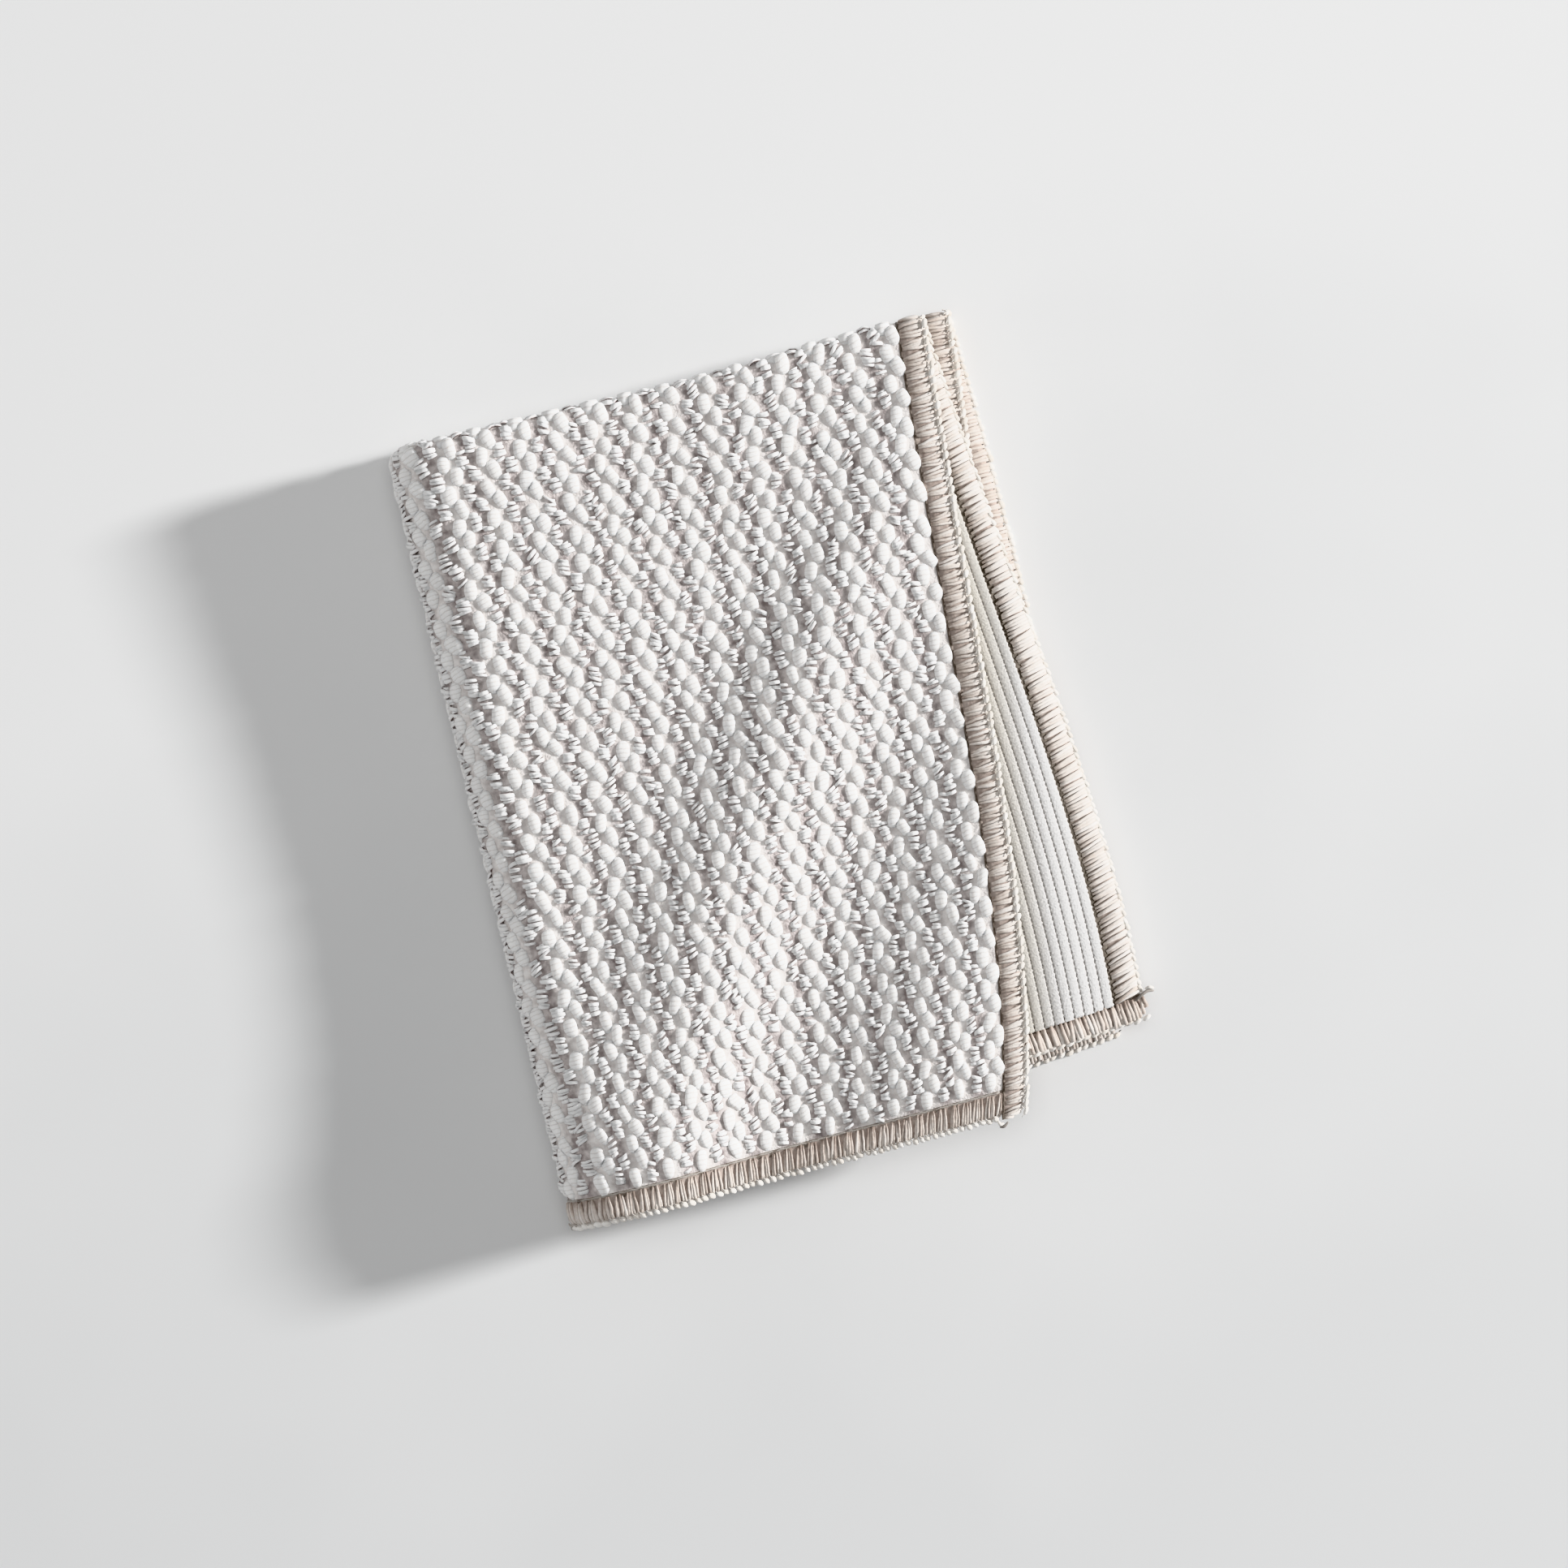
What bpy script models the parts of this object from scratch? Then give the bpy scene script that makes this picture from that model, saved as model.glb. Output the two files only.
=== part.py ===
"""A nubby knitted dishcloth with an overlocked edge, folded in half and in half again.

Metres, +Z up. The left fold runs along Y, the top fold along X, and the bundle lies on the plane
z = 0 with its middle over the origin. The knit is one solid that runs through all four layers,
and the overlocked thread is one ring, a casing round the knit's pressed edge.

From the top down the layers are: face up, back up, face up, face down.
Positions on the flat cloth are (across, along), from its middle, with +across to the right and
+along to the top fold's far side. Lift is the height over the knit's mid surface, face side up.
"""

import math

import bpy
import numpy as np

# The cloth before it is folded
CLOTH_WIDTH = 0.230
CLOTH_LENGTH = 0.320
KNIT_THICKNESS = 0.0026

# The overlocked edge
CASING_WIDTH = 0.0060
CASING_THICKNESS = 0.0026
CASING_WALL = 0.0005
CASING_SHOULDER = 0.0008
CASING_RIM_HEIGHT = 0.0012
PIECE_GAP = 0.0003
# How far the knit's pressed edge stops short of the casing's outer edge
PRESSED_INSET = 0.0012
# 2 makes the cloth's corners round, and a higher number makes them squarer
CORNER_POWER = 6.0

# Half the distance between the middles of the layers that each fold joins
TOP_FOLD_RADIUS = 0.0019
LEFT_FOLD_RADIUS = 0.0050
# How much further the plump left fold reaches out than a round one
LEFT_FOLD_FULLNESS = 1.27
# The upper two layers come down beside that fold
SINK_DEPTH = 0.0031
SINK_LENGTH = 0.055

# Where the cloth lies on a flat sheet whose fold lines are u = 0 and v = 0, which is then folded.
# Five rows, evenly spaced from the face's bottom edge to its top one, and in each the cloth's
# left edge, middle and right edge: left u, left v, middle u, middle v, right u, right v.
PLACEMENT = (
    (-0.1352, -0.1512, -0.0123, -0.1645, 0.0876, -0.1615),
    (-0.1370, -0.0742, -0.0123, -0.0809, 0.0995, -0.0794),
    (-0.1354, 0.0030, -0.0123, 0.0030, 0.1055, 0.0030),
    (-0.1272, 0.0788, -0.0123, 0.0840, 0.1139, 0.0791),
    (-0.1212, 0.1546, -0.0123, 0.1651, 0.1169, 0.1553),
)
# How softly the left and right halves of that table meet, as a share of half the cloth
MIDDLE_ROUNDING = 0.15

# The top fold bows out towards its right end
TOP_BOW = 0.0020
TOP_BOW_FROM = 0.045
TOP_BOW_LENGTH = 0.060
TOP_BOW_FADE = 0.060

# Soft creases: y, crest's x, height, spread to the left, spread to the right. They lift the top
# layer by their height and each lower one by less.
MAIN_CREASE = (
    (-0.165, 0.0115, 0.0056, 0.0120, 0.0080),
    (-0.140, 0.0190, 0.0062, 0.0145, 0.0100),
    (-0.110, 0.0340, 0.0062, 0.0145, 0.0120),
    (-0.080, 0.0528, 0.0056, 0.0120, 0.0120),
    (-0.050, 0.0728, 0.0034, 0.0090, 0.0105),
    (-0.020, 0.0942, 0.0006, 0.0080, 0.0090),
    (0.005, 0.1100, 0.0000, 0.0080, 0.0090),
)
LEFT_RISE = (
    (-0.165, 0.0000, 0.0016, 0.0100, 0.0110),
    (-0.140, 0.0000, 0.0022, 0.0100, 0.0100),
    (-0.110, -0.0030, 0.0008, 0.0100, 0.0080),
    (-0.080, -0.0030, 0.0004, 0.0100, 0.0080),
    (-0.050, -0.0030, 0.0010, 0.0100, 0.0110),
    (-0.020, -0.0020, 0.0024, 0.0100, 0.0170),
    (0.005, -0.0020, 0.0034, 0.0100, 0.0220),
)
# This one lifts the top layer alone
RIGHT_RISE = (
    (-0.165, 0.0660, 0.0032, 0.0150, 0.0250),
    (-0.141, 0.0750, 0.0044, 0.0140, 0.0250),
    (-0.117, 0.0900, 0.0048, 0.0145, 0.0200),
    (-0.093, 0.0990, 0.0036, 0.0130, 0.0150),
    (-0.070, 0.1060, 0.0012, 0.0100, 0.0140),
    (-0.045, 0.1120, 0.0000, 0.0100, 0.0140),
)
# Soft humps of the top layer: x, y, spread, height
HUMPS = (
    (0.0330, -0.0200, 0.0160, 0.0018),
    (0.0590, -0.0070, 0.0160, 0.0018),
)

# The top layer's bottom border hangs a little, and so does the second layer's right one
BOTTOM_SAG = 0.0022
BOTTOM_SAG_FROM = -0.1500
BOTTOM_SAG_LENGTH = 0.016
SIDE_SAG = 0.0022
SIDE_SAG_FROM = 0.1120
SIDE_SAG_LEAN = 0.095
SIDE_SAG_LENGTH = 0.014

# Steps of the mesh, short where the cloth folds
LEFT_FOLD_ZONE = 0.0154
LEFT_FOLD_STEP = 0.0022
TOP_FOLD_ZONE = 0.0040
TOP_FOLD_STEP = 0.0010
FLAT_STEP = 0.0092
CORNER_STEPS = 4

KNIT_COLOUR = (0.80, 0.79, 0.78)
KNIT_ROUGHNESS = 0.9
THREAD_COLOUR = (0.62, 0.54, 0.47)
THREAD_ROUGHNESS = 0.7

HALF_WIDTH = CLOTH_WIDTH / 2
HALF_LENGTH = CLOTH_LENGTH / 2
OUTER_RADIUS = LEFT_FOLD_RADIUS + TOP_FOLD_RADIUS
LEFT_FOLD_ARC = math.pi * OUTER_RADIUS * (1.0 + LEFT_FOLD_FULLNESS) / 2
TOP_FOLD_ARC = math.pi * TOP_FOLD_RADIUS
PRESSED_HALF = CASING_THICKNESS / 2 - CASING_WALL - PIECE_GAP


def smooth_step(x):
    """0 below 0, 1 above 1, and a soft rise between."""
    x = np.clip(x, 0.0, 1.0)
    return x * x * (3.0 - 2.0 * x)


def on_fold_plane(across, along):
    """Where a point of the flat cloth lies on the sheet that is then folded, as (u, v)."""
    s = across / HALF_WIDTH
    t = along / HALF_LENGTH
    rows = np.array(PLACEMENT)
    row_t = np.linspace(-1.0, 1.0, len(rows))
    at = 0.0
    for i, own_t in enumerate(row_t):
        weight = np.ones_like(t)
        for other_t in np.delete(row_t, i):
            weight = weight * (t - other_t) / (own_t - other_t)
        at = at + weight[:, None] * rows[i]
    left, middle, right = at[:, 0:2], at[:, 2:4], at[:, 4:6]
    rounded = np.sqrt(s * s + MIDDLE_ROUNDING**2)
    to_right = ((rounded + s) / 2)[:, None]
    to_left = ((rounded - s) / 2)[:, None]
    place = middle + (right - middle) * to_right + (left - middle) * to_left
    return place[:, 0], place[:, 1]


def folded(u, v, lift):
    """The two folds of the sheet: the top one first, then the left one."""
    turn = np.clip(v / TOP_FOLD_RADIUS, 0.0, math.pi)
    radius = TOP_FOLD_RADIUS + lift
    past = np.maximum(v - TOP_FOLD_ARC, 0.0)
    y = np.minimum(v, 0.0) - past + radius * np.sin(turn)
    height = radius * np.cos(turn)
    swing = math.pi * np.clip(-u / LEFT_FOLD_ARC, 0.0, 1.0)
    reach = LEFT_FOLD_RADIUS + height
    beyond = np.maximum(-u - LEFT_FOLD_ARC, 0.0)
    x = np.maximum(u, 0.0) + beyond - LEFT_FOLD_FULLNESS * reach * np.sin(swing)
    z = reach * np.cos(swing)
    return x, y, z


def crease_height(x, y, rows):
    """The height of one crease, whose rows run from low y to high y."""
    rows = np.array(rows)
    crest, height, left, right = (np.interp(y, rows[:, 0], column) for column in rows[:, 1:].T)
    spread = np.where(x < crest, left, right)
    return height * np.exp(-(((x - crest) / spread) ** 2) / 2)


def raised_height(x, y):
    """How far the shared creases and humps lift the top layer."""
    lifted = crease_height(x, y, MAIN_CREASE) + crease_height(x, y, LEFT_RISE)
    for hump_x, hump_y, spread, height in HUMPS:
        away = (x - hump_x) ** 2 + (y - hump_y) ** 2
        lifted = lifted + height * np.exp(-away / (2 * spread**2))
    return lifted


def lying_cloth(across, along, lift):
    """Where points of the cloth lie once it is folded and put down."""
    u, v = on_fold_plane(across, along)
    x, y, z = folded(u, v, lift)
    raised_share = (folded(u, v, 0.0)[2] / OUTER_RADIUS + 1.0) / 2
    upper_pair = u > -LEFT_FOLD_ARC / 2
    top_layer = upper_pair & (v < 0.0)
    second_layer = upper_pair & (v > TOP_FOLD_ARC)
    z = z + OUTER_RADIUS + KNIT_THICKNESS / 2
    z = z - upper_pair * SINK_DEPTH * smooth_step(x / SINK_LENGTH)
    z = z + raised_share * raised_height(x, y)
    z = z + top_layer * crease_height(x, y, RIGHT_RISE)
    z = z - top_layer * BOTTOM_SAG * smooth_step((BOTTOM_SAG_FROM - y) / BOTTOM_SAG_LENGTH)
    past_side = x - SIDE_SAG_FROM - SIDE_SAG_LEAN * y
    z = z - second_layer * SIDE_SAG * smooth_step(past_side / SIDE_SAG_LENGTH)
    near_top = smooth_step((y + TOP_BOW_FADE) / TOP_BOW_FADE)
    y = y + TOP_BOW * near_top * smooth_step((x - TOP_BOW_FROM) / TOP_BOW_LENGTH)
    return np.stack([x, y, z], axis=1)


def grid_lines(half_size, zone, zone_step):
    """Where the mesh lines cross one side of the knit's thick part, from end to end."""
    flat_end = half_size - CASING_WIDTH - PIECE_GAP
    fold = np.linspace(-zone, zone, 2 * round(zone / zone_step) + 1)
    steps = math.ceil((flat_end - zone) / FLAT_STEP)
    flat = np.linspace(zone, flat_end, steps + 1)[1:]
    return np.concatenate([-flat[::-1], fold, flat])


def edge_route(columns, rows):
    """The stops round the knit's thick part, anticlockwise: column, row, outward heading.

    A corner has several stops at one place, whose headings turn through a right angle.
    """
    right, top = columns - 1, rows - 1
    sides = (
        ([(i, 0) for i in range(columns)], -math.pi / 2),
        ([(right, j) for j in range(rows)], 0.0),
        ([(i, top) for i in reversed(range(columns))], math.pi / 2),
        ([(0, j) for j in reversed(range(rows))], math.pi),
    )
    stops = []
    for places, heading in sides:
        for i, j in places[1:-1]:
            stops.append((i, j, heading))
        i, j = places[-1]
        for turn in np.linspace(0.0, math.pi / 2, CORNER_STEPS + 1):
            stops.append((i, j, heading + turn))
    return stops


def ring_at(route, across, along, reach, lift):
    """One point for each stop, that far out from the knit's thick part."""
    flat = []
    for i, j, heading in route:
        out_x, out_y = math.cos(heading), math.sin(heading)
        power = CORNER_POWER
        size = (abs(out_x) ** power + abs(out_y) ** power) ** (1 / power)
        flat.append((across[i] + reach * out_x / size, along[j] + reach * out_y / size))
    flat = np.array(flat)
    return lying_cloth(flat[:, 0], flat[:, 1], np.full(len(flat), lift))


def sheet_faces(columns, rows, under):
    """The quads of the face, and of the back, whose points start at the index under."""
    faces = []
    for j in range(rows - 1):
        for i in range(columns - 1):
            a = j * columns + i
            b = a + columns
            faces.append((a, a + 1, b + 1, b))
            faces.append((under + b, under + b + 1, under + a + 1, under + a))
    return faces


def knit_mesh(across, along):
    """The knit: a thick sheet that steps down to a thin pressed edge."""
    columns, rows = len(across), len(along)
    count = columns * rows
    grid_across, grid_along = np.tile(across, rows), np.repeat(along, columns)
    route = edge_route(columns, rows)
    places = []
    place_of = []
    for i, j, _heading in route:
        if not places or places[-1] != (i, j):
            places.append((i, j))
        place_of.append(len(places) - 1)
    foot_across = np.array([across[i] for i, j in places])
    foot_along = np.array([along[j] for i, j in places])
    foot_lift = np.full(len(places), PRESSED_HALF)
    tip_reach = CASING_WIDTH + PIECE_GAP - PRESSED_INSET
    blocks = (
        lying_cloth(grid_across, grid_along, np.full(count, KNIT_THICKNESS / 2)),
        lying_cloth(grid_across, grid_along, np.full(count, -KNIT_THICKNESS / 2)),
        lying_cloth(foot_across, foot_along, foot_lift),
        lying_cloth(foot_across, foot_along, -foot_lift),
        ring_at(route, across, along, tip_reach, PRESSED_HALF),
        ring_at(route, across, along, tip_reach, -PRESSED_HALF),
    )
    starts = np.cumsum([0] + [len(block) for block in blocks])
    _face, back, foot_top, foot_under, tip_top, tip_under = starts[:6].tolist()

    faces = sheet_faces(columns, rows, back)
    stops = len(route)
    for k in range(stops):
        n = (k + 1) % stops
        a, b = place_of[k], place_of[n]
        faces.append((tip_top + k, tip_under + k, tip_under + n, tip_top + n))
        if a == b:
            faces.append((foot_top + a, tip_top + k, tip_top + n))
            faces.append((foot_under + a, tip_under + n, tip_under + k))
            continue
        grid_a = places[a][1] * columns + places[a][0]
        grid_b = places[b][1] * columns + places[b][0]
        faces.append((foot_top + a, tip_top + k, tip_top + n, foot_top + b))
        faces.append((foot_under + b, tip_under + n, tip_under + k, foot_under + a))
        faces.append((grid_a, foot_top + a, foot_top + b, grid_b))
        faces.append((back + grid_b, foot_under + b, foot_under + a, back + grid_a))
    return np.concatenate(blocks), faces


def casing_mesh(across, along):
    """The overlocked thread: a ring with a C section that is open towards the knit."""
    half = CASING_THICKNESS / 2
    inner = half - CASING_WALL
    rim = CASING_RIM_HEIGHT / 2
    mouth = PIECE_GAP
    outside = CASING_WIDTH + PIECE_GAP
    lining = outside - PRESSED_INSET + PIECE_GAP
    shoulder = outside - CASING_SHOULDER
    # Reach and lift of the section's points
    section = (
        (mouth, half),
        (shoulder, half),
        (outside, rim),
        (outside, -rim),
        (shoulder, -half),
        (mouth, -half),
        (mouth, -inner),
        (lining, -inner),
        (lining, inner),
        (mouth, inner),
    )
    route = edge_route(len(across), len(along))
    rings = [ring_at(route, across, along, reach, lift) for reach, lift in section]
    stops = len(route)
    faces = []
    for i in range(len(section)):
        j = (i + 1) % len(section)
        for k in range(stops):
            n = (k + 1) % stops
            faces.append((i * stops + k, j * stops + k, j * stops + n, i * stops + n))
    return np.concatenate(rings), faces


def material(name, colour, roughness):
    """A plain dielectric finish."""
    made = bpy.data.materials.new(name)
    made.use_nodes = True
    shader = made.node_tree.nodes["Principled BSDF"]
    shader.inputs["Base Color"].default_value = (*colour, 1.0)
    shader.inputs["Roughness"].default_value = roughness
    shader.inputs["Metallic"].default_value = 0.0
    return made


def add_object(name, points, faces, finish):
    """One named object with one material, smooth shaded."""
    mesh = bpy.data.meshes.new(name)
    mesh.from_pydata([tuple(p) for p in points], [], faces)
    mesh.materials.append(finish)
    mesh.shade_smooth()
    mesh.update()
    bpy.context.scene.collection.objects.link(bpy.data.objects.new(name, mesh))


def build():
    """Both pieces, moved so that the middle of the bundle's base is the origin."""
    for old in list(bpy.data.objects):
        bpy.data.objects.remove(old, do_unlink=True)
    across = grid_lines(HALF_WIDTH, LEFT_FOLD_ZONE, LEFT_FOLD_STEP)
    along = grid_lines(HALF_LENGTH, TOP_FOLD_ZONE, TOP_FOLD_STEP)
    knit_points, knit_faces = knit_mesh(across, along)
    casing_points, casing_faces = casing_mesh(across, along)
    every = np.concatenate([knit_points, casing_points])
    middle = (every.min(axis=0) + every.max(axis=0)) / 2
    middle[2] = 0.0
    knit = material("knit_white_and_taupe", KNIT_COLOUR, KNIT_ROUGHNESS)
    thread = material("thread_taupe", THREAD_COLOUR, THREAD_ROUGHNESS)
    add_object("knit_panel", knit_points - middle, knit_faces, knit)
    add_object("overlocked_edge", casing_points - middle, casing_faces, thread)


build()
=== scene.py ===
"""Looks of a nubby knitted dishcloth with an overlocked edge, folded in half and in half again.

Metres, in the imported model's frame. Every piece is made on the flat cloth, as (across, along,
lift), and then laid down by the same two folds as the solids: see lying_cloth.
"""

import math

import bpy
import numpy as np
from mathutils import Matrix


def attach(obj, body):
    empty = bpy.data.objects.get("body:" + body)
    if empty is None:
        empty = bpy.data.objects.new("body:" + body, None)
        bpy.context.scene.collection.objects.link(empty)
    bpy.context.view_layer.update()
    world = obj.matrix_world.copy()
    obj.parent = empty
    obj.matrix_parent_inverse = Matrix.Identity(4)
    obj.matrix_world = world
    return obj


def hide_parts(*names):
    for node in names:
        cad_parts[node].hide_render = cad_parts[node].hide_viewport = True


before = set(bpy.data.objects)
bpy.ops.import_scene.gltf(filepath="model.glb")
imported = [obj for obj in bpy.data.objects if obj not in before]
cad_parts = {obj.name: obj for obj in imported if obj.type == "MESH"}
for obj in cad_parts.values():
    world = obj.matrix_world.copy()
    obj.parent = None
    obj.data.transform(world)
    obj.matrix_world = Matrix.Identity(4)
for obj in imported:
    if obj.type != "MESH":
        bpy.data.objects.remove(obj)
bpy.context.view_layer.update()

# The cloth and its folds, as in the solids
CLOTH_WIDTH = 0.230
CLOTH_LENGTH = 0.320
KNIT_THICKNESS = 0.0026
CASING_WIDTH = 0.0060
PIECE_GAP = 0.0003
# Half the distance between the middles of the layers that each fold joins
TOP_FOLD_RADIUS = 0.0019
LEFT_FOLD_RADIUS = 0.0050
# How much further the plump left fold reaches out than a round one
LEFT_FOLD_FULLNESS = 1.27
# The upper two layers come down beside that fold
SINK_DEPTH = 0.0031
SINK_LENGTH = 0.055
# Where the cloth lies on a flat sheet whose fold lines are u = 0 and v = 0, which is then folded.
# Five rows, evenly spaced from the face's bottom edge to its top one, and in each the cloth's
# left edge, middle and right edge: left u, left v, middle u, middle v, right u, right v.
PLACEMENT = (
    (-0.1352, -0.1512, -0.0123, -0.1645, 0.0876, -0.1615),
    (-0.1370, -0.0742, -0.0123, -0.0809, 0.0995, -0.0794),
    (-0.1354, 0.0030, -0.0123, 0.0030, 0.1055, 0.0030),
    (-0.1272, 0.0788, -0.0123, 0.0840, 0.1139, 0.0791),
    (-0.1212, 0.1546, -0.0123, 0.1651, 0.1169, 0.1553),
)
# How softly the left and right halves of that table meet, as a share of half the cloth
MIDDLE_ROUNDING = 0.15
# The top fold bows out towards its right end
TOP_BOW = 0.0020
TOP_BOW_FROM = 0.045
TOP_BOW_LENGTH = 0.060
TOP_BOW_FADE = 0.060
# Soft creases: y, crest's x, height, spread to the left, spread to the right. They lift the top
# layer by their height and each lower one by less.
MAIN_CREASE = (
    (-0.165, 0.0115, 0.0056, 0.0120, 0.0080),
    (-0.140, 0.0190, 0.0062, 0.0145, 0.0100),
    (-0.110, 0.0340, 0.0062, 0.0145, 0.0120),
    (-0.080, 0.0528, 0.0056, 0.0120, 0.0120),
    (-0.050, 0.0728, 0.0034, 0.0090, 0.0105),
    (-0.020, 0.0942, 0.0006, 0.0080, 0.0090),
    (0.005, 0.1100, 0.0000, 0.0080, 0.0090),
)
LEFT_RISE = (
    (-0.165, 0.0000, 0.0016, 0.0100, 0.0110),
    (-0.140, 0.0000, 0.0022, 0.0100, 0.0100),
    (-0.110, -0.0030, 0.0008, 0.0100, 0.0080),
    (-0.080, -0.0030, 0.0004, 0.0100, 0.0080),
    (-0.050, -0.0030, 0.0010, 0.0100, 0.0110),
    (-0.020, -0.0020, 0.0024, 0.0100, 0.0170),
    (0.005, -0.0020, 0.0034, 0.0100, 0.0220),
)
# This one lifts the top layer alone
RIGHT_RISE = (
    (-0.165, 0.0660, 0.0032, 0.0150, 0.0250),
    (-0.141, 0.0750, 0.0044, 0.0140, 0.0250),
    (-0.117, 0.0900, 0.0048, 0.0145, 0.0200),
    (-0.093, 0.0990, 0.0036, 0.0130, 0.0150),
    (-0.070, 0.1060, 0.0012, 0.0100, 0.0140),
    (-0.045, 0.1120, 0.0000, 0.0100, 0.0140),
)
# Soft humps of the top layer: x, y, spread, height
HUMPS = (
    (0.0330, -0.0200, 0.0160, 0.0018),
    (0.0590, -0.0070, 0.0160, 0.0018),
)
# The top layer's bottom border hangs a little, and so does the second layer's right one
BOTTOM_SAG = 0.0022
BOTTOM_SAG_FROM = -0.1500
BOTTOM_SAG_LENGTH = 0.016
SIDE_SAG = 0.0022
SIDE_SAG_FROM = 0.1120
SIDE_SAG_LEAN = 0.095
SIDE_SAG_LENGTH = 0.014
# Where the middle of the bundle's base is before it is moved to the origin
BUNDLE_MIDDLE = (0.053697, -0.079176, 0.0)

HALF_WIDTH = CLOTH_WIDTH / 2
HALF_LENGTH = CLOTH_LENGTH / 2
OUTER_RADIUS = LEFT_FOLD_RADIUS + TOP_FOLD_RADIUS
LEFT_FOLD_ARC = math.pi * OUTER_RADIUS * (1.0 + LEFT_FOLD_FULLNESS) / 2
TOP_FOLD_ARC = math.pi * TOP_FOLD_RADIUS
# Half the size of the knit between the borders
KNIT_HALF_WIDTH = HALF_WIDTH - CASING_WIDTH - PIECE_GAP
KNIT_HALF_LENGTH = HALF_LENGTH - CASING_WIDTH - PIECE_GAP

# Nubs stand in columns, two white ones and then two striped ones, from the right border on
COLUMN_STEP = 0.00192
FIRST_COLUMN = 0.1075
NUB_STEP = 0.0063
# How far down each of the four columns starts, in steps, and how its nubs tilt, in degrees
COLUMN_PHASES = (0.48, 0.00, 0.41, -0.08)
COLUMN_TILTS = (13.0, 1.0, 8.0, 3.0)
COLUMN_STRIPED = (0.0, 0.0, 1.0, 1.0)
# Rows of nubs each way from the middle, and how far they stop short of the knit's ends
ROWS_EACH_WAY = 26
NUB_MARGIN = 0.0012
# How unevenly nubs stand across and along, and how unevenly they tilt, in degrees
NUB_SHIFTS = (0.00016, 0.00028)
NUB_TILT_SPREAD = 5.0
# A white nub: half length, half width, half height, the middle's lift, and turns of its yarn
WHITE_NUB = (0.00230, 0.00135, 0.00104, 0.00044, 5.0)
# Its rings reach this far to its ends, in degrees. A higher power makes the ends blunter.
NUB_RING_REACH = 86.0
END_POWER = 2.4
# Shares of a nub's own size: how much its far end is slimmer, how high its yarn's turns stand,
# how far its ends hang, how uneven its sizes are, how far it sways, and how lumpy it is
NUB_TAPER = 0.10
TURN_RIDGE = 0.015
NUB_DROOP = 0.20
NUB_UNEVENNESS = 0.07
NUB_SWAY = 0.12
NUB_LUMPS = 0.05
# Below 1, a tube's section is squarer than an ellipse
NUB_SECTION = 0.68
CURL_SECTION = 0.80
# A striped nub is a stack of curls across it: how many, their spacing, half their width, their
# height and their thickness
CURLS = 5
CURL_STEP = 0.00070
CURL_HALF_WIDTH = 0.00119
CURL_HEIGHT = 0.00102
CURL_THICKNESS = 0.00045
CURL_LIFT = 0.00008
CURL_RING_REACH = 84.0
# Shares of a curl's own size: how much narrower and lower the outer curls of a nub are, how much
# thinner a curl is where it goes down, and how flat its yarn lies
CURL_NARROWING = 0.22
CURL_LOWERING = 0.30
CURL_THINNING = 0.30
CURL_FLATNESS = 0.85
# How curls slant and bow along the nub: the usual amount, and how much it varies
CURL_SLANT = (0.05, 0.22)
CURL_BOW = (0.00012, 0.00016)
# How unevenly curls lie along and across the nub, how uneven their width, height and thickness
# are, and how much the slant of whole nubs varies
CURL_SHIFTS = (0.00017, 0.00014)
CURL_UNEVENNESS = (0.10, 0.12, 0.16)
NUB_SLANT_SPREAD = 0.15
# How much wider nubs are where the cloth folds and its face is stretched
FOLD_FULLNESS = 1.36
# Rings of a nub and points of each ring: on the top layer, on the folds, and of those below
# and of single curls
FINE_NUB = (12, 10)
FOLD_NUB = (9, 8)
COARSE_NUB = (5, 6)
# What parts the nubs of the top layer, of the folds and of the layers below, on the flat cloth
TOP_LAYER_FROM = 0.003
TOP_FOLD_FROM = -0.001
TOP_FOLD_TO = 0.0075
LEFT_FOLD_TO = -0.016
# Nubs of the layers below are made only in the margins that show, past these places
MARGIN_ACROSS = 0.098
MARGIN_ALONG = 0.143

# The ground's lift on its face and on its back, how uneven the face is, and how far the sheet
# reaches in under the border
GROUND_FACE = 0.00066
GROUND_UNEVENNESS = 0.00012
GROUND_BACK = -0.00105
GROUND_LAP = 0.0010
# Its mesh: the half width of the fold's zone and the mesh's step there, for each fold, and its
# step elsewhere
LEFT_FOLD_ZONE = (0.0160, 0.0011)
TOP_FOLD_ZONE = (0.0040, 0.0006)
GROUND_STEP = 0.0016
# Down the left fold's flank the ground is painted paler, as painted fill light on that side, by this
# share, from one place to another
FLANK_PAINTED_LIGHT = 0.6
FLANK_FROM = 0.003
FLANK_WIDTH = 0.006

RIB_COUNT = 13
RIB_STEP_ALONG = 0.0004
FIRST_RIB = 0.1076
# Ribs run from just over the top fold to a little under the border
RIBS_FROM = -0.002
RIBS_LAP = 0.0008
# The lift of a rib's middle, half its width and half its height, and how these and its run vary
RIB_LIFT = -0.00100
RIB_HALF_WIDTH = (0.00095, 0.00006)
RIB_HALF_HEIGHT = (0.00026, 0.00005)
RIB_WAVE = 0.00010
# The top layer's right edge over the ribs, which get painted shade, a creamy tint, close to it
TOP_EDGE_AT = 0.1055
TOP_EDGE_LEAN = 0.1185
EDGE_SHADE_WIDTH = 0.010
EDGE_SHADE_FADE = 0.070
# A rib's section, as shares of its half width and of its height
RIB_SECTION = (
    (1.00, -0.4),
    (0.95, -1.0),
    (0.70, -1.4),
    (-0.70, -1.4),
    (-0.95, -1.0),
    (-1.00, -0.4),
    (-0.70, 0.8),
    (0.70, 0.8),
)
# The length of one loop of a rib, how far ribs are out of step with each other, and how much
# slower their width changes
SCALLOP = 0.00125
RIB_OUT_OF_STEP = 2.3
RIB_WIDTH_BEAT = 1.31

STRAND_STEP = 0.00072
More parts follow.
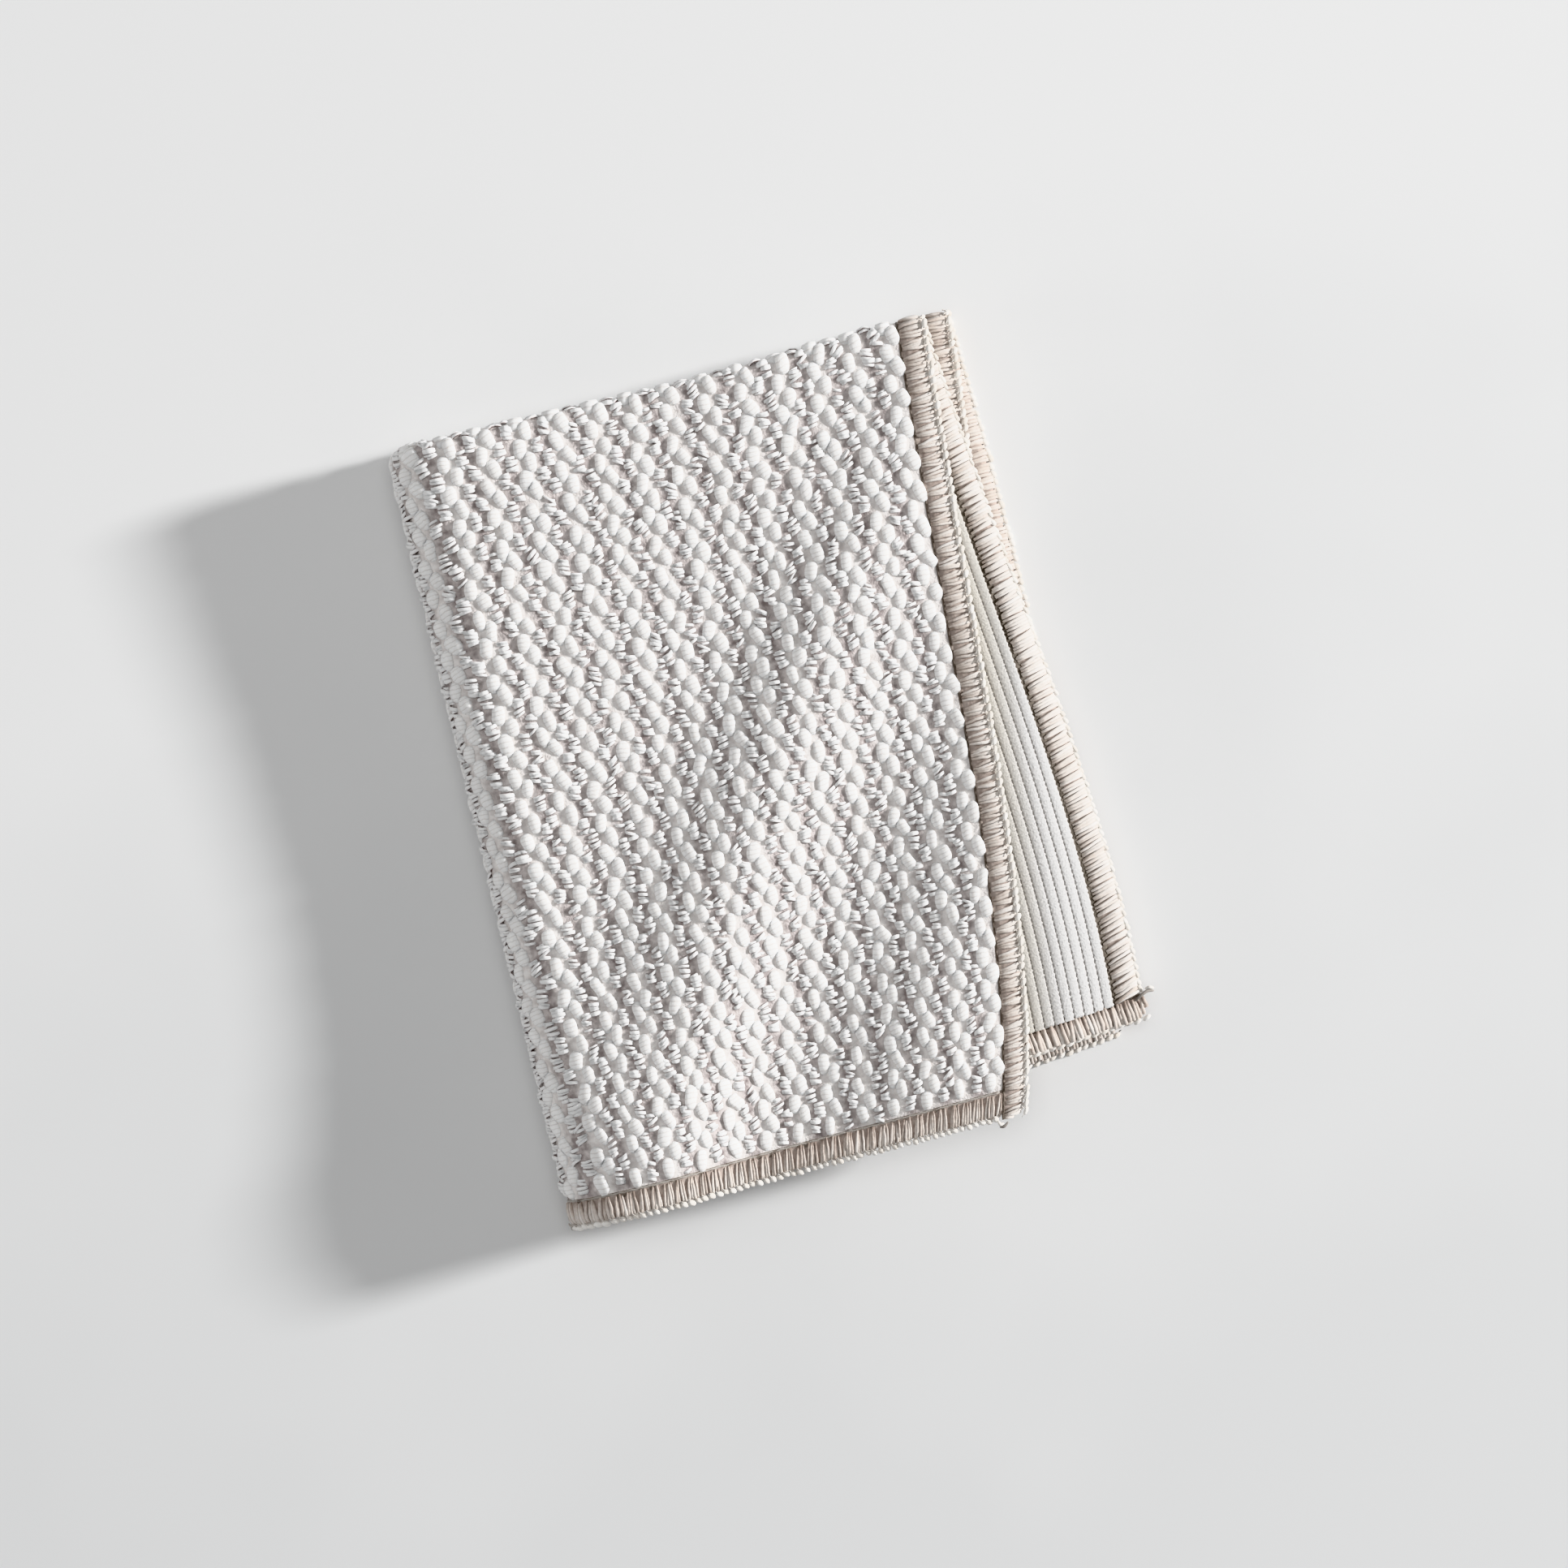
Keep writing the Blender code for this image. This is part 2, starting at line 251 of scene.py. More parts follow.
# Strands that share a needle hole, on the back of the right border's second layer and elsewhere
STRANDS_ON_BACK = 2
STRANDS_PER_STITCH = 4
STRAND_HALF_WIDTH = 0.00042
STRAND_HALF_HEIGHT = 0.00034
# Half a step round, so that a strand's four points make a flat top
STRAND_START_TURN = 0.5
# How far strands lean together at the needle hole and at the outer edge, as shares
PINCH_INSIDE = 0.45
PINCH_OUTSIDE = 0.06
CHAIN_STEP = 0.00165
# A loop of the chain: half its length, its reach from the knit, lift, half width and half height
BEAD = (0.00084, 0.00555, 0.00086, 0.00058, 0.00054)
# A tie of the chain: its length, where it starts from the knit, how far it reaches, its lift,
# half width and half height
TICK = (0.00055, 0.00468, 0.00062, 0.00146, 0.00016, 0.00013)
# The thread in the crease: its lift, how far it waves, half width and half height
NEEDLE_THREAD = (0.00062, 0.00009, 0.00026, 0.00022)
NEEDLE_STEP = 0.0009
NEEDLE_INSET = 0.0004
# What the strands are wrapped round: the section's reach from the knit and lift
CORE_SECTION = (
    (0.00015, 0.00070),
    (0.00150, 0.00092),
    (0.00350, 0.00088),
    (0.00480, 0.00040),
    (0.00480, -0.00040),
    (0.00350, -0.00088),
    (0.00150, -0.00092),
    (0.00015, -0.00070),
)
CORE_STEP = 0.0012
# A higher power makes the border's outer corners squarer
CORNER_POWER = 6
CORNER_TURNS = (18.0, 36.0, 54.0, 72.0)

# How dark the thread in the crease beside each side's strands is: partly the thread's own colour and
# partly painted shade of the crease
NEEDLE_LINE_THREAD_AND_SHADE = (1.0, 1.0, 0.55, 0.55)
# Loose ends of thread at two corners: how dark, and points of across, along and lift
TAIL_THICKNESS = 0.00036
THREAD_TAILS = (
    (
        0.8,
        (
            (0.1125, 0.1547, -0.0012),
            (0.1140, 0.1538, -0.0016),
            (0.1152, 0.1533, -0.0012),
            (0.1163, 0.1538, -0.0004),
        ),
    ),
    (0.0, ((0.1149, 0.1528, -0.0008), (0.1157, 0.1528, -0.0014), (0.1164, 0.1533, -0.0008))),
    (0.0, ((0.1074, -0.1596, 0.0010), (0.1081, -0.1606, 0.0012), (0.1089, -0.1605, 0.0006))),
    (0.8, ((0.1080, -0.1610, 0.0004), (0.1092, -0.1612, 0.0006), (0.1100, -0.1604, 0.0004))),
)

# Yarn that would dip into the surface lies pressed flat this high over it
PRESSED_ON_FLOOR = 0.00005
# The ground is painted dark this close to the border, as painted shade of the crease there
PAINTED_CREASE_SHADE_WIDTH = 0.00035
# How far light wanders inside white yarn
YARN_DEPTH = 0.0010

FLOOR_HALF_SIZE = 3.0
# The main light, low at the right: how far away it is, how high and how far turned, in degrees
KEY_AWAY = 3.6
KEY_RISE = 17.5
KEY_TURN = 3.0
# The middle of the bundle, at which the low lights are aimed
BUNDLE_AIM = (0.0, 0.0, 0.01)
# The lights: the width of the disc in metres and the power in watts
KEY_SIZE, KEY_POWER = 0.44, 215.0
FILL_SIZE, FILL_POWER = 2.8, 37.0
BOUNCE_SIZE, BOUNCE_POWER = 1.2, 15.0
ROOM_STRENGTH = 0.322

CAMERA_HEIGHT = 1.2
CAMERA_AIM = (0.000403, -0.004024)
CAMERA_ROLL = math.radians(13.4)
SEEN_WIDTH = 0.3280
SENSOR_WIDTH = 36.0

chance = np.random.default_rng(11)


# The folds


def smooth_step(x):
    """0 below 0, 1 above 1, and a soft rise between."""
    x = np.clip(x, 0.0, 1.0)
    return x * x * (3.0 - 2.0 * x)


def on_fold_plane(across, along):
    """Where a point of the flat cloth lies on the sheet that is then folded, as (u, v)."""
    s = across / HALF_WIDTH
    t = along / HALF_LENGTH
    rows = np.array(PLACEMENT)
    row_t = np.linspace(-1.0, 1.0, len(rows))
    at = 0.0
    for i, own_t in enumerate(row_t):
        weight = np.ones_like(t)
        for other_t in np.delete(row_t, i):
            weight = weight * (t - other_t) / (own_t - other_t)
        at = at + weight[:, None] * rows[i]
    left, middle, right = at[:, 0:2], at[:, 2:4], at[:, 4:6]
    rounded = np.sqrt(s * s + MIDDLE_ROUNDING**2)
    to_right = ((rounded + s) / 2)[:, None]
    to_left = ((rounded - s) / 2)[:, None]
    place = middle + (right - middle) * to_right + (left - middle) * to_left
    return place[:, 0], place[:, 1]


def folded(u, v, lift):
    """The two folds of the sheet: the top one first, then the left one."""
    turn = np.clip(v / TOP_FOLD_RADIUS, 0.0, math.pi)
    radius = TOP_FOLD_RADIUS + lift
    past = np.maximum(v - TOP_FOLD_ARC, 0.0)
    y = np.minimum(v, 0.0) - past + radius * np.sin(turn)
    height = radius * np.cos(turn)
    swing = math.pi * np.clip(-u / LEFT_FOLD_ARC, 0.0, 1.0)
    reach = LEFT_FOLD_RADIUS + height
    beyond = np.maximum(-u - LEFT_FOLD_ARC, 0.0)
    x = np.maximum(u, 0.0) + beyond - LEFT_FOLD_FULLNESS * reach * np.sin(swing)
    z = reach * np.cos(swing)
    return x, y, z


def crease_height(x, y, rows):
    """The height of one crease, whose rows run from low y to high y."""
    rows = np.array(rows)
    crest, height, left, right = (np.interp(y, rows[:, 0], column) for column in rows[:, 1:].T)
    spread = np.where(x < crest, left, right)
    return height * np.exp(-(((x - crest) / spread) ** 2) / 2)


def raised_height(x, y):
    """How far the shared creases and humps lift the top layer."""
    lifted = crease_height(x, y, MAIN_CREASE) + crease_height(x, y, LEFT_RISE)
    for hump_x, hump_y, spread, height in HUMPS:
        away = (x - hump_x) ** 2 + (y - hump_y) ** 2
        lifted = lifted + height * np.exp(-away / (2 * spread**2))
    return lifted


def lying_cloth(flat):
    """Where points of the cloth, given as rows of across, along and lift, lie once it is folded."""
    across, along, lift = flat[:, 0], flat[:, 1], flat[:, 2]
    u, v = on_fold_plane(across, along)
    x, y, z = folded(u, v, lift)
    raised_share = (folded(u, v, 0.0)[2] / OUTER_RADIUS + 1.0) / 2
    upper_pair = u > -LEFT_FOLD_ARC / 2
    top_layer = upper_pair & (v < 0.0)
    second_layer = upper_pair & (v > TOP_FOLD_ARC)
    z = z + OUTER_RADIUS + KNIT_THICKNESS / 2
    z = z - upper_pair * SINK_DEPTH * smooth_step(x / SINK_LENGTH)
    z = z + raised_share * raised_height(x, y)
    z = z + top_layer * crease_height(x, y, RIGHT_RISE)
    z = z - top_layer * BOTTOM_SAG * smooth_step((BOTTOM_SAG_FROM - y) / BOTTOM_SAG_LENGTH)
    past_side = x - SIDE_SAG_FROM - SIDE_SAG_LEAN * y
    z = z - second_layer * SIDE_SAG * smooth_step(past_side / SIDE_SAG_LENGTH)
    near_top = smooth_step((y + TOP_BOW_FADE) / TOP_BOW_FADE)
    y = y + TOP_BOW * near_top * smooth_step((x - TOP_BOW_FROM) / TOP_BOW_LENGTH)
    return np.stack([x, y, z], axis=1) - np.array(BUNDLE_MIDDLE)


# Meshes


def add_piece(name, flat, quads, finish, values):
    """One mesh piece, laid down from the flat cloth. values are numbers for each point, by name."""
    points = lying_cloth(flat.reshape(-1, 3))
    points[:, 2] = np.maximum(points[:, 2], PRESSED_ON_FLOOR)
    mesh = bpy.data.meshes.new(name)
    mesh.vertices.add(len(points))
    mesh.vertices.foreach_set("co", points.ravel())
    mesh.loops.add(quads.size)
    mesh.loops.foreach_set("vertex_index", quads.ravel().astype(np.int32))
    mesh.polygons.add(len(quads))
    mesh.polygons.foreach_set("loop_start", np.arange(0, quads.size, 4, dtype=np.int32))
    for key, numbers in values.items():
        layer = mesh.attributes.new(key, "FLOAT", "POINT")
        layer.data.foreach_set("value", np.ascontiguousarray(numbers, dtype=np.float32).ravel())
    mesh.materials.append(finish)
    mesh.update(calc_edges=True)
    mesh.validate()
    mesh.shade_smooth()
    piece = bpy.data.objects.new(name, mesh)
    bpy.context.scene.collection.objects.link(piece)
    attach(piece, "root")
    return piece


def tube_quads(count, rings, around):
    """The faces of many closed tubes, whose points run tube by tube and ring by ring."""
    k = np.arange(around)
    n = (k + 1) % around
    start = (np.arange(rings - 1) * around)[:, None]
    side = np.stack([start + k, start + n, start + around + n, start + around + k], axis=-1)
    i = np.arange(around // 2 - 1)
    first = np.stack([i, around - 1 - i, around - 2 - i, i + 1], axis=-1)
    last = np.stack([i, i + 1, around - 2 - i, around - 1 - i], axis=-1) + (rings - 1) * around
    one = np.concatenate([side.reshape(-1, 4), first, last])
    return (np.arange(count)[:, None, None] * rings * around + one).reshape(-1, 4)


def tube_points(centre, side, up, around, turned=0.0, power=1.0):
    """Rings about centre points. side and up are half the width and height, as vectors.

    A power below 1 makes the section squarer.
    """
    angle = 2 * math.pi * (np.arange(around) + turned) / around
    cosine, sine = np.cos(angle)[:, None], np.sin(angle)[:, None]
    cosine = np.sign(cosine) * np.abs(cosine) ** power
    sine = np.sign(sine) * np.abs(sine) ** power
    return centre[..., None, :] + cosine * side[..., None, :] + sine * up[..., None, :]


def vectors(x, y, z):
    """Rows of three from numbers or arrays that broadcast."""
    return np.stack(np.broadcast_arrays(x, y, z), axis=-1).astype(float)


# The knit


def nub_table():
    """Every nub of the face: across, along, striped, tilt in radians."""
    columns = int((FIRST_COLUMN + KNIT_HALF_WIDTH) / COLUMN_STEP)
    along_steps = np.arange(-ROWS_EACH_WAY, ROWS_EACH_WAY + 1)
    k, m = np.meshgrid(np.arange(columns), along_steps, indexing="ij")
    kind = k % 4
    along = (m - np.array(COLUMN_PHASES)[kind]) * NUB_STEP
    across = FIRST_COLUMN - k * COLUMN_STEP
    tilt = np.radians(np.array(COLUMN_TILTS)[kind])
    striped = np.array(COLUMN_STRIPED)[kind]
    rows = np.stack([across, along, striped, tilt], axis=-1).reshape(-1, 4)
    inside = np.abs(rows[:, 1]) < KNIT_HALF_LENGTH - NUB_MARGIN
    rows = rows[inside]
    rows[:, 0] += chance.normal(0.0, NUB_SHIFTS[0], len(rows))
    rows[:, 1] += chance.normal(0.0, NUB_SHIFTS[1], len(rows))
    rows[:, 3] += chance.normal(0.0, math.radians(NUB_TILT_SPREAD), len(rows))
    return rows


def nub_shapes(nubs, rings, around, fuller):
    """Pillow-like nubs: their points on the flat cloth and numbers for the yarn's finish."""
    count = len(nubs)
    striped = nubs[:, 2]
    half_length, half_width, half_height, middle_lift, turns = WHITE_NUB
    uneven = 1.0 + chance.normal(0.0, NUB_UNEVENNESS, (3, count, 1))
    share = np.sin(np.linspace(-1.0, 1.0, rings) * math.radians(NUB_RING_REACH))
    profile = (1.0 - np.abs(share) ** END_POWER) ** 0.5 * (1.0 - NUB_TAPER * share)
    wrap = (share[None, :] + 1.0) / 2 * turns + chance.random((count, 1))
    ridge = 1.0 + TURN_RIDGE * np.cos(2 * math.pi * wrap)
    sway = chance.normal(0.0, NUB_SWAY, (count, 1)) * np.sin(math.pi * share)
    sine, cosine = np.sin(nubs[:, 3])[:, None], np.cos(nubs[:, 3])[:, None]
    length = half_length * (0.5 + 0.5 * fuller) * uneven[0] * share
    drift = half_width * sway
    centre = vectors(
        nubs[:, 0, None] + length * sine + drift * cosine,
        nubs[:, 1, None] - length * cosine + drift * sine,
        middle_lift - NUB_DROOP * half_height * share**2,
    )
    wide = half_width * fuller * uneven[1] * profile * ridge
    high = half_height * uneven[2] * profile * ridge
    side = vectors(wide * cosine, wide * sine, 0.0)
    flat = tube_points(centre, side, vectors(0.0, 0.0, high), around, power=NUB_SECTION)
    middle = np.cos(math.pi * share / 2)[:, None, None]
    lumps = chance.normal(0.0, NUB_LUMPS, (count, 1, around, 1))
    flat = flat + (flat - centre[:, :, None, :]) * middle * lumps
    shape = (count, rings, around)
    values = {
        "wrap": np.broadcast_to(wrap[:, :, None], shape),
        "striped": np.broadcast_to(striped[:, None, None], shape),
        "tone": np.broadcast_to(chance.random(count)[:, None, None], shape),
    }
    return flat, values


def curl_shapes(nubs, rings, around, fuller):
    """Striped nubs, each a stack of short curls of yarn over the ground, with gaps between."""
    count = len(nubs)
    j = np.arange(CURLS)[None, :, None]
    turn = np.radians(np.linspace(-CURL_RING_REACH, CURL_RING_REACH, rings))
    over, height = np.sin(turn), np.cos(turn)
    grid = (count, CURLS, 1)
    place = (j - (CURLS - 1) / 2) * CURL_STEP + chance.normal(0.0, CURL_SHIFTS[0], grid)
    end = np.abs(j - (CURLS - 1) / 2) / (CURLS / 2)
    uneven_width, uneven_height, uneven_thickness = CURL_UNEVENNESS
    uneven = 1.0 + chance.normal(0.0, uneven_width, grid)
    wide = CURL_HALF_WIDTH * fuller * (1.0 - CURL_NARROWING * end**2) * uneven
    uneven = 1.0 + chance.normal(0.0, uneven_height, grid)
    high = CURL_HEIGHT * (1.0 - CURL_LOWERING * end**2) * uneven
    slant = chance.normal(*CURL_SLANT, grid) + chance.normal(0.0, NUB_SLANT_SPREAD, (count, 1, 1))
    bow = chance.normal(*CURL_BOW, grid)
    aside = wide * over + chance.normal(0.0, CURL_SHIFTS[1], grid)
    down = place + slant * aside + bow * height
    lift = CURL_LIFT + high * height
    sine, cosine = np.sin(nubs[:, 3])[:, None, None], np.cos(nubs[:, 3])[:, None, None]
    centre = vectors(
        nubs[:, 0, None, None] + down * sine + aside * cosine,
        nubs[:, 1, None, None] - down * cosine + aside * sine,
        lift,
    )
    uneven = 1.0 + chance.normal(0.0, uneven_thickness, grid)
    thick = CURL_THICKNESS * uneven * (1.0 - CURL_THINNING + CURL_THINNING * height)
    side = vectors(-sine * thick, cosine * thick, 0.0)
    up = vectors(cosine * over * thick, sine * over * thick, height * thick) * CURL_FLATNESS
    flat = tube_points(centre, side, up, around, power=CURL_SECTION)
    shape = flat.shape[:4]
    # The sides of each curl, where it lies against the next, get painted shade
    beside = np.abs(np.cos(2 * math.pi * np.arange(around) / around))
    values = {
        "painted_shade_side": np.broadcast_to(beside * np.ones(shape), shape),
        "over": np.broadcast_to(np.abs(over)[:, None] * np.ones(shape), shape),
        "tone": np.broadcast_to(chance.random((count, CURLS, 1, 1)), shape),
    }
    return flat, values


def add_nubs(name, nubs, mesh_size, finish, curled=False, fuller=1.0):
    """One piece of many nubs. mesh_size is a nub's rings, or a curl's, and the points of each."""
    rings, around = mesh_size
    make = curl_shapes if curled else nub_shapes
    flat, values = make(nubs, rings, around, fuller)
    quads = tube_quads(flat.size // (3 * rings * around), rings, around)
    return add_piece(name, flat, quads, finish, values)


def grid_lines(half_size, zone, zone_step, flat_step):
    """Where mesh lines cross the knit, close together where it folds."""
    fold = np.linspace(-zone, zone, 2 * round(zone / zone_step) + 1)
    steps = math.ceil((half_size - zone) / flat_step)
    flat = np.linspace(zone, half_size, steps + 1)[1:]
    return np.concatenate([-flat[::-1], fold, flat])


def add_ground(finish):
    """The knit's base: a closed sheet with uneven loops on its face and ribs on its back."""
    across = grid_lines(KNIT_HALF_WIDTH + GROUND_LAP, *LEFT_FOLD_ZONE, GROUND_STEP)
    along = grid_lines(KNIT_HALF_LENGTH + GROUND_LAP, *TOP_FOLD_ZONE, GROUND_STEP)
    rows, columns = len(along), len(across)
    a, b = np.meshgrid(across, along)
    face = vectors(a, b, GROUND_FACE + chance.normal(0.0, GROUND_UNEVENNESS, a.shape))
    back = vectors(a, b, GROUND_BACK)
    flat = np.concatenate([face.reshape(-1, 3), back.reshape(-1, 3)])
    i = np.arange(rows * columns).reshape(rows, columns)
    upper = np.stack([i[:-1, :-1], i[:-1, 1:], i[1:, 1:], i[1:, :-1]], axis=-1).reshape(-1, 4)
    under = upper[:, ::-1] + rows * columns
    edge = np.concatenate([i[0, :-1], i[:-1, -1], i[-1, :0:-1], i[:0:-1, 0]])
    following = np.roll(edge, -1)
    rim = np.stack([edge, edge + rows * columns, following + rows * columns, following], axis=-1)
    quads = np.concatenate([upper, under, rim])
    column = (FIRST_COLUMN - flat[:, 0]) / COLUMN_STEP
    striped = 0.5 - 0.5 * np.cos(2 * math.pi * (column - 0.5) / 4)
    # Painted light: the ground on the left fold's flank is less brown
    flank_light_share = smooth_step((FLANK_FROM - flat[:, 0]) / FLANK_WIDTH) * (flat[:, 1] < 0.0)
    striped = striped * (1.0 - FLANK_PAINTED_LIGHT * flank_light_share)
    spare = np.minimum(KNIT_HALF_WIDTH - abs(flat[:, 0]), KNIT_HALF_LENGTH - abs(flat[:, 1]))
    values = {
        "back": (flat[:, 2] == GROUND_BACK).astype(float),
        "striped": striped,
        "spare": spare,
    }
    return add_piece("knit_ground", flat, quads, finish, values)


def add_ribs(finish):
    """The ribs of the back, where the second layer shows beside the top one."""
    along = np.arange(RIBS_FROM, KNIT_HALF_LENGTH + RIBS_LAP, RIB_STEP_ALONG)
    k = np.arange(RIB_COUNT)[:, None]
    beat = 2 * math.pi * along[None, :] / SCALLOP + RIB_OUT_OF_STEP * k
    across = FIRST_RIB - k * COLUMN_STEP + RIB_WAVE * np.sin(beat)
    wide = RIB_HALF_WIDTH[0] + RIB_HALF_WIDTH[1] * np.sin(beat * RIB_WIDTH_BEAT + k)
    high = RIB_HALF_HEIGHT[0] + RIB_HALF_HEIGHT[1] * np.cos(beat)
    centre = vectors(across, along[None, :], RIB_LIFT)
    side_share, up_share = np.array(RIB_SECTION).T
    side = vectors(wide, 0.0, 0.0)[..., None, :] * side_share[:, None]
    up = vectors(0.0, 0.0, high)[..., None, :] * up_share[:, None]
    flat = centre[..., None, :] + side + up
    shape = flat.shape[:3]
    place = lying_cloth(flat.reshape(-1, 3)) + np.array(BUNDLE_MIDDLE)
    # Painted shade beside the top layer's edge, fading out towards the top
    edge = TOP_EDGE_AT + TOP_EDGE_LEAN * place[:, 1]
    painted_edge_shade = np.clip(1.0 - (place[:, 0] - edge) / EDGE_SHADE_WIDTH, 0.0, 1.0)
    values = {
        "tone": np.broadcast_to(chance.random(RIB_COUNT)[:, None, None], shape),
        "beat": np.broadcast_to(beat[:, :, None] / (2 * math.pi), shape),
        "painted_shade_side": np.broadcast_to(np.abs(side_share), shape),
        "painted_edge_shade": painted_edge_shade * smooth_step(-place[:, 1] / EDGE_SHADE_FADE),
    }
    quads = tube_quads(RIB_COUNT, len(along), len(RIB_SECTION))
    return add_piece("back_ribs", flat, quads, finish, values)


# The overlocked edge

# Each side: the outward direction, half the knit's size that way, where its stitches start and
# end, going anticlockwise. Each side's stitches lap over the end of the side before it.
SIDES = (
    ((1.0, 0.0), KNIT_HALF_WIDTH, -HALF_LENGTH, KNIT_HALF_LENGTH),
    ((0.0, 1.0), KNIT_HALF_LENGTH, -HALF_WIDTH, KNIT_HALF_WIDTH),
    ((-1.0, 0.0), KNIT_HALF_WIDTH, -HALF_LENGTH, KNIT_HALF_LENGTH),
    ((0.0, -1.0), KNIT_HALF_LENGTH, -HALF_WIDTH, KNIT_HALF_WIDTH),
)
# Reach from the knit and lift of a strand's middle line, from the face round to the back
STRAND_ROUTE = (
    (0.00010, 0.00045),
    (0.00050, 0.00092),
    (0.00140, 0.00108),
    (0.00260, 0.00110),
    (0.00370, 0.00100),
    (0.00450, 0.00070),
    (0.00490, 0.00010),
    (0.00460, -0.00060),
    (0.00350, -0.00100),
    (0.00180, -0.00108),
    (0.00060, -0.00100),
    (0.00005, -0.00045),
)


def on_side(side, reach, run, lift):
    """Points of the flat cloth beside one side of the knit."""
    (out_x, out_y), half, _start, _end = SIDES[side]
    return vectors(
        out_x * (half + reach) - out_y * run,
        out_y * (half + reach) + out_x * run,
        lift,
    )


def on_face(side, run, lift):
    """The lift, turned over to the back where the cloth's back is what shows."""
    turned = np.where((side == 1) | ((side == 0) & (run > 0.0)), -1.0, 1.0)
    return lift * turned[:, None]


def stitch_facts(side, run):
    """How creamy the thread is there, with painted light making the second layer's right border paler,
    how far its strands lean, and whether its back shows.
    """
    if side == 0:
        back = smooth_step((run + 0.004) / 0.008)
        # The second layer's right border is paler partly as painted light, as it tilts towards the key
        # light
        return 0.60 + 0.14 * back, -0.0002 + 0.0016 * back, back
    if side == 1:
        return 0.46 + 0.0 * run, 0.0007 + 0.0 * run, 1.0 + 0.0 * run
    return 0.46 + 0.0 * run, 0.0002 + 0.0 * run, 0.0 * run


def strand_set(side):
    """The wrapped strands of one side: points, and numbers for the finish."""
    _out, _half, start, end = SIDES[side]
    count = int((end - start) / STRAND_STEP)
    run = start + (np.arange(count) + 0.5) * STRAND_STEP
    cream_and_painted_light, lean, back = stitch_facts(side, run)
    per_stitch = STRANDS_ON_BACK if side == 1 else STRANDS_PER_STITCH
    per_stitch = np.where((side == 0) & (run > 0.0), STRANDS_ON_BACK, per_stitch)
    stitch = np.floor((run - start) / (per_stitch * STRAND_STEP)).astype(int)
    middle = start + (stitch + 0.5) * per_stitch * STRAND_STEP
    stitch_tone = chance.random(count + 1)[stitch]
    route = np.array(STRAND_ROUTE)
    reach, lift = route[:, 0], route[:, 1]
    inward = np.clip(1.0 - reach / reach.max(), 0.0, 1.0)
    pinch_inside = PINCH_INSIDE * inward ** (1.5 + 3.0 * back[:, None])
    pinch = pinch_inside + PINCH_OUTSIDE * (1.0 - inward) ** 3
    at = run[:, None] + (middle - run)[:, None] * pinch
    lean = lean + chance.normal(0.0, 0.00022, count) * (0.3 + 0.7 * back)
    at = at + lean[:, None] * inward + chance.normal(0.0, 0.00010, (count, 1))
    at = at + chance.normal(0.0, 0.00005, (count, len(route)))
    half_run = KNIT_HALF_LENGTH if side % 2 == 0 else KNIT_HALF_WIDTH
    past_knit = np.clip((np.abs(run) - half_run) / CASING_WIDTH, 0.0, 0.98)
    rounded = (1.0 - past_knit**4) ** 0.25
    reach = reach * rounded[:, None] + chance.normal(0.0, 0.00010, (count, 1))
    reach = reach + 0.0002 * stitch_tone[:, None]
    bulge = 1.0 + 0.12 * back[:, None] * (lift < 0.0)
    lift = lift * bulge * (1.0 + chance.normal(0.0, 0.04, (count, 1)))
    centre = on_side(side, reach, at, lift)
    ahead = np.gradient(centre, axis=1)
    ahead = ahead / np.linalg.norm(ahead, axis=2, keepdims=True)
    (out_x, out_y) = SIDES[side][0]
    beside = vectors(-out_y * np.ones_like(at), out_x, 0.0)
    up = np.cross(ahead, beside)
    up = up / np.linalg.norm(up, axis=2, keepdims=True)
    beside = np.cross(up, ahead)
    thin = 1.0 - 0.45 * inward**3
    size = (1.0 + chance.normal(0.0, 0.08, (count, 1))) * thin * (1.0 + 0.2 * back[:, None])
    wide = beside * (STRAND_HALF_WIDTH * size)[..., None]
    high = up * (STRAND_HALF_HEIGHT * size)[..., None]
    flat = tube_points(centre, wide, high, 4, STRAND_START_TURN)
    shape = flat.shape[:3]
    tone = cream_and_painted_light + 0.20 * (stitch_tone - 0.5) + chance.normal(0.0, 0.09, count)
    values = {
        "tone": np.broadcast_to(tone[:, None, None], shape),
        # The strands' inner ends get painted shade from this, where they go into the crease
        "inward": np.broadcast_to(inward[None, :, None] ** 2.5, shape),
    }
    return flat, values


def add_strands(name, sides, finish):
    """One piece of the wrapped strands of some sides."""
    sets = [strand_set(side) for side in sides]
    flat = np.concatenate([points for points, _ in sets])
    values = {key: np.concatenate([v[key] for _, v in sets]) for key in ("tone", "inward")}
    quads = tube_quads(len(flat), len(STRAND_ROUTE), 4)
    return add_piece(name, flat, quads, finish, values)


def bead_set(side):
    """The chain of small loops along the outer edge of one side."""
    _out, _half, start, end = SIDES[side]
    count = int((end - start) / CHAIN_STEP)
    run = start + (np.arange(count) + 0.5) * CHAIN_STEP + chance.normal(0.0, 0.00010, count)
    half_length, out, rise, half_width, half_height = BEAD
    share = np.sin(np.linspace(-1.0, 1.0, 6) * math.radians(CURL_RING_REACH))
    profile = (1.0 - np.abs(share) ** END_POWER) ** 0.5
    half_length = half_length * (1.0 + chance.normal(0.0, 0.08, (count, 1)))
    at = run[:, None] + half_length * share
    back = stitch_facts(side, run)[2][:, None]
    reach = out + 0.00020 * share + chance.normal(0.0, 0.00009, (count, 1)) - 0.0004 * back
    lift = rise - 0.00014 * share + chance.normal(0.0, 0.00008, (count, 1)) - 0.0005 * back
    centre = on_side(side, reach, at, on_face(side, run, lift))
    (out_x, out_y) = SIDES[side][0]
    thick = 1.08 + chance.normal(0.0, 0.08, (count, 1, 1)) - 0.25 * back[:, :, None]
    side_way = vectors(-out_x, -out_y, 0.0) * half_width * profile[:, None] * thick
    up_way = vectors(0.0, 0.0, 1.0) * half_height * profile[:, None] * thick
    return tube_points(centre, side_way, up_way, 6)


